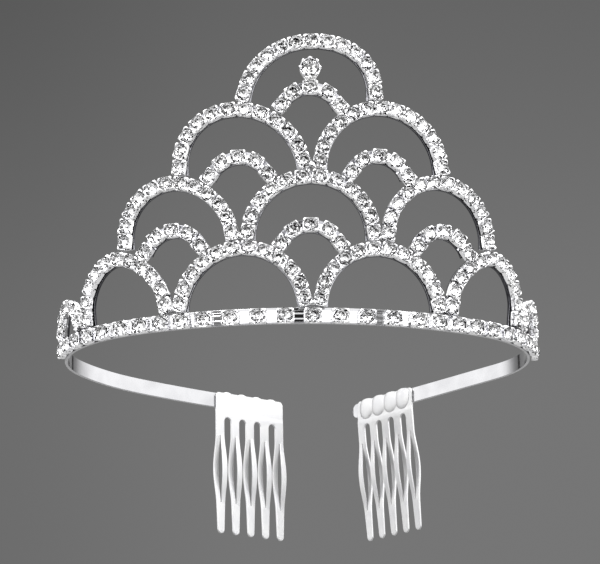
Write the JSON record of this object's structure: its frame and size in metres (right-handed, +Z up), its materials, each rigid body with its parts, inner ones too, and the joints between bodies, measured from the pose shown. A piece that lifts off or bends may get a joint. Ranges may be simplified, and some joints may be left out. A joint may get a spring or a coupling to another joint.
{
  "type": "bridal tiara",
  "caption": "Bridal tiara: a springy open metal band carrying a scalloped wall of rhinestone arches, a finial stone and a slide-in hair comb at each end.",
  "frame": {"origin": "the middle of the head ring, in the plane of the band's lower edge", "axes": "+Z up out of the head, -Y towards the front of the tiara, +X to the right of someone who looks at its front"},
  "size_m": [0.1427, 0.1356, 0.1247],
  "materials": {
    "band_silver": "bright silver plate on a flat spring strip",
    "strip_silver": "bright silver plate",
    "stone_chain": "foil-backed clear crystal in bright silver-plated square cups",
    "finial_silver": "bright silver plate",
    "finial_glass": "foil-backed clear crystal, brilliant cut",
    "comb_silver": "satin silver plate on stamped sheet"
  },
  "bodies": {
    "root": {"head_band": "band_silver", "band_stones": "stone_chain", "finial_cup": "finial_silver", "finial_stone": "finial_glass", "comb_left": "comb_silver", "comb_right": "comb_silver", "row1_large_left_strip": "strip_silver", "row1_large_left_stones": "stone_chain", "row1_large_right_strip": "strip_silver", "row1_large_right_stones": "stone_chain", "row1_outer_left_strip": "strip_silver", "row1_outer_left_stones": "stone_chain", "row1_outer_right_strip": "strip_silver", "row1_outer_right_stones": "stone_chain", "row1_end_left_strip": "strip_silver", "row1_end_left_stones": "stone_chain", "row1_end_right_strip": "strip_silver", "row1_end_right_stones": "stone_chain", "row2_left_strip": "strip_silver", "row2_left_stones": "stone_chain", "row2_centre_strip": "strip_silver", "row2_centre_stones": "stone_chain", "row2_right_strip": "strip_silver", "row2_right_stones": "stone_chain", "row3_left_strip": "strip_silver", "row3_left_stones": "stone_chain", "row3_right_strip": "strip_silver", "row3_right_stones": "stone_chain", "row4_top_strip": "strip_silver", "row4_top_stones": "stone_chain", "infill1_left_strip": "strip_silver", "infill1_left_stones": "stone_chain", "infill1_centre_strip": "strip_silver", "infill1_centre_stones": "stone_chain", "infill1_right_strip": "strip_silver", "infill1_right_stones": "stone_chain", "infill2_left_strip": "strip_silver", "infill2_left_stones": "stone_chain", "infill2_right_strip": "strip_silver", "infill2_right_stones": "stone_chain", "infill3_top_strip": "strip_silver", "infill3_top_stones": "stone_chain"}
  },
  "joints": []
}
